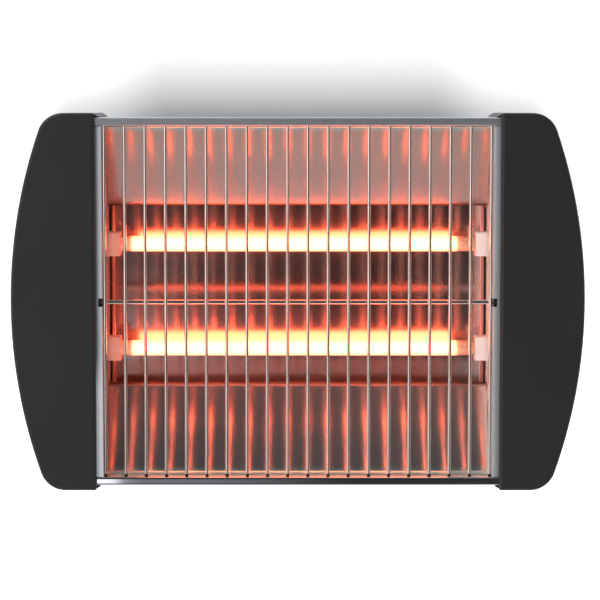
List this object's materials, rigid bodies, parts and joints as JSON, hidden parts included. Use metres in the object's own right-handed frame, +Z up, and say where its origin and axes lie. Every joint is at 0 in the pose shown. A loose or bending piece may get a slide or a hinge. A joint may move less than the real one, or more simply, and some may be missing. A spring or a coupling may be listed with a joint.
{
  "type": "flat toaster",
  "caption": "Flat toaster: a steel wire grill over two quartz heating tubes in a sheet steel body between moulded end caps, with a sliding crumb tray.",
  "frame": {"origin": "on the surface that the feet stand on, under the middle of the outer box", "axes": "+X to the right along the length, -Y towards the user's side with the crumb tray and switch, +Z up"},
  "size_m": [0.373, 0.246, 0.088],
  "materials": {
    "cap_plastic": "black moulded plastic with a fine satin grain",
    "foot_rubber": "matt black",
    "panel_steel": "satin",
    "reflector_sheet": "bright polished sheet, heat tinted",
    "wire_chrome": "bright plated",
    "quartz": "clear quartz",
    "glowing_wire": "glowing heating wire",
    "holder_ceramic": "unglazed",
    "spring_steel": "plain",
    "terminal_metal": "nickel brass",
    "tray_steel": "bright rolled sheet",
    "base_steel": "galvanised",
    "screw_steel": "zinc plated",
    "switch_plastic": "gloss black",
    "lamp_lens": "translucent red",
    "block_ceramic": "white",
    "lead_brown": "silicone sleeve",
    "lead_blue": "silicone sleeve",
    "lead_green": "silicone sleeve"
  },
  "bodies": {
    "toaster_body": {"left_end_cap": "cap_plastic", "right_end_cap": "cap_plastic", "left_base_cover": "cap_plastic", "right_base_cover": "cap_plastic", "front_left_foot": "foot_rubber", "front_right_foot": "foot_rubber", "rear_left_foot": "foot_rubber", "rear_right_foot": "foot_rubber", "front_panel": "panel_steel", "rear_panel": "panel_steel", "left_side_wall": "panel_steel", "right_side_wall": "panel_steel", "front_reflector": "reflector_sheet", "rear_reflector": "reflector_sheet", "grill_wires": "wire_chrome", "cross_rod": "wire_chrome", "front_quartz_tube": "quartz", "rear_quartz_tube": "quartz", "front_heating_coil": "glowing_wire", "rear_heating_coil": "glowing_wire", "front_left_holder": "holder_ceramic", "front_right_holder": "holder_ceramic", "rear_left_holder": "holder_ceramic", "rear_right_holder": "holder_ceramic", "holder_clips": "spring_steel", "element_terminals": "terminal_metal", "left_tray_rail": "spring_steel", "right_tray_rail": "spring_steel", "base_plate": "base_steel", "cap_screws": "screw_steel", "base_cover_screws": "screw_steel", "base_plate_screws": "screw_steel", "switch_body": "switch_plastic", "pilot_lamp": "lamp_lens", "cord_gland": "switch_plastic", "terminal_block": "block_ceramic", "pole_screws": "terminal_metal", "earth_screw": "screw_steel", "element_link": "lead_brown", "live_lead": "lead_brown", "switched_lead": "lead_brown", "neutral_lead": "lead_blue", "earth_lead": "lead_green"},
    "crumb_tray": {"crumb_tray": "tray_steel"},
    "rocker": {"switch_rocker": "switch_plastic"}
  },
  "joints": [
    {"name": "crumb_tray_slide", "type": "slide", "parent": "toaster_body", "child": "crumb_tray", "axis": [0, -1, 0], "range_m": [0, 0.2]},
    {"name": "rocker_press", "type": "hinge", "parent": "toaster_body", "child": "rocker", "pos_m": [0.1422, -0.1165, 0.048], "axis": [1, 0, 0], "range_deg": [0, 20]}
  ]
}
